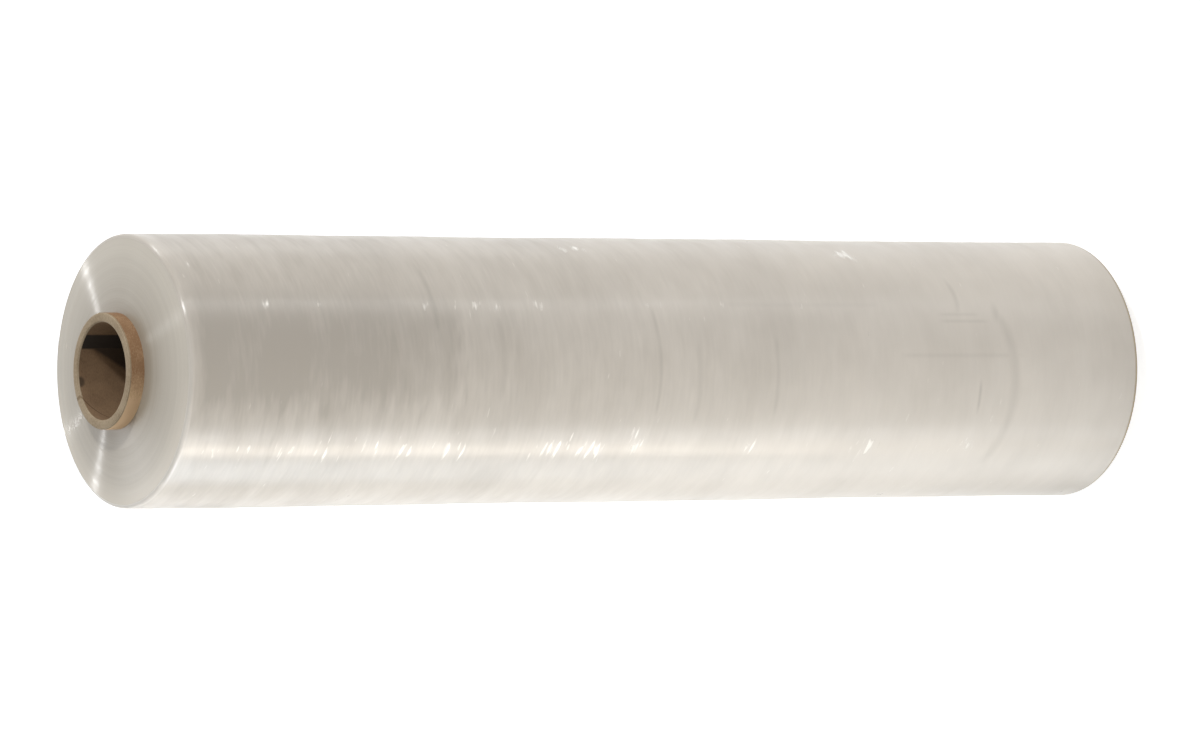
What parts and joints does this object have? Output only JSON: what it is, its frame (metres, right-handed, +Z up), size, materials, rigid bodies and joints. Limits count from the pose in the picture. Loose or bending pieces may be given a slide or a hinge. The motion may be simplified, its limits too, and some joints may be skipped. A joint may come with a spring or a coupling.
{
  "type": "stretch wrap roll",
  "caption": "Roll of clear stretch film for hand wrapping, wound on a kraft board tube that shows at both ends; it stands on the tube's rim.",
  "frame": {"origin": "centre of the tube's lower rim, on the surface that the roll stands on", "axes": "+Z up along the tube's axis; the film's loose end is on the side that faces +Y"},
  "size_m": [0.1077, 0.1078, 0.4756],
  "materials": {
    "stretch_film": "clear polyethylene film, wound tight: milky and pale grey in the mass, glossy on the side, matt on the cut ends",
    "kraft_board": "spiral-wound kraft board, plain and matt"
  },
  "bodies": {
    "root": {"film_roll": "stretch_film", "paper_tube": "kraft_board"}
  },
  "joints": []
}
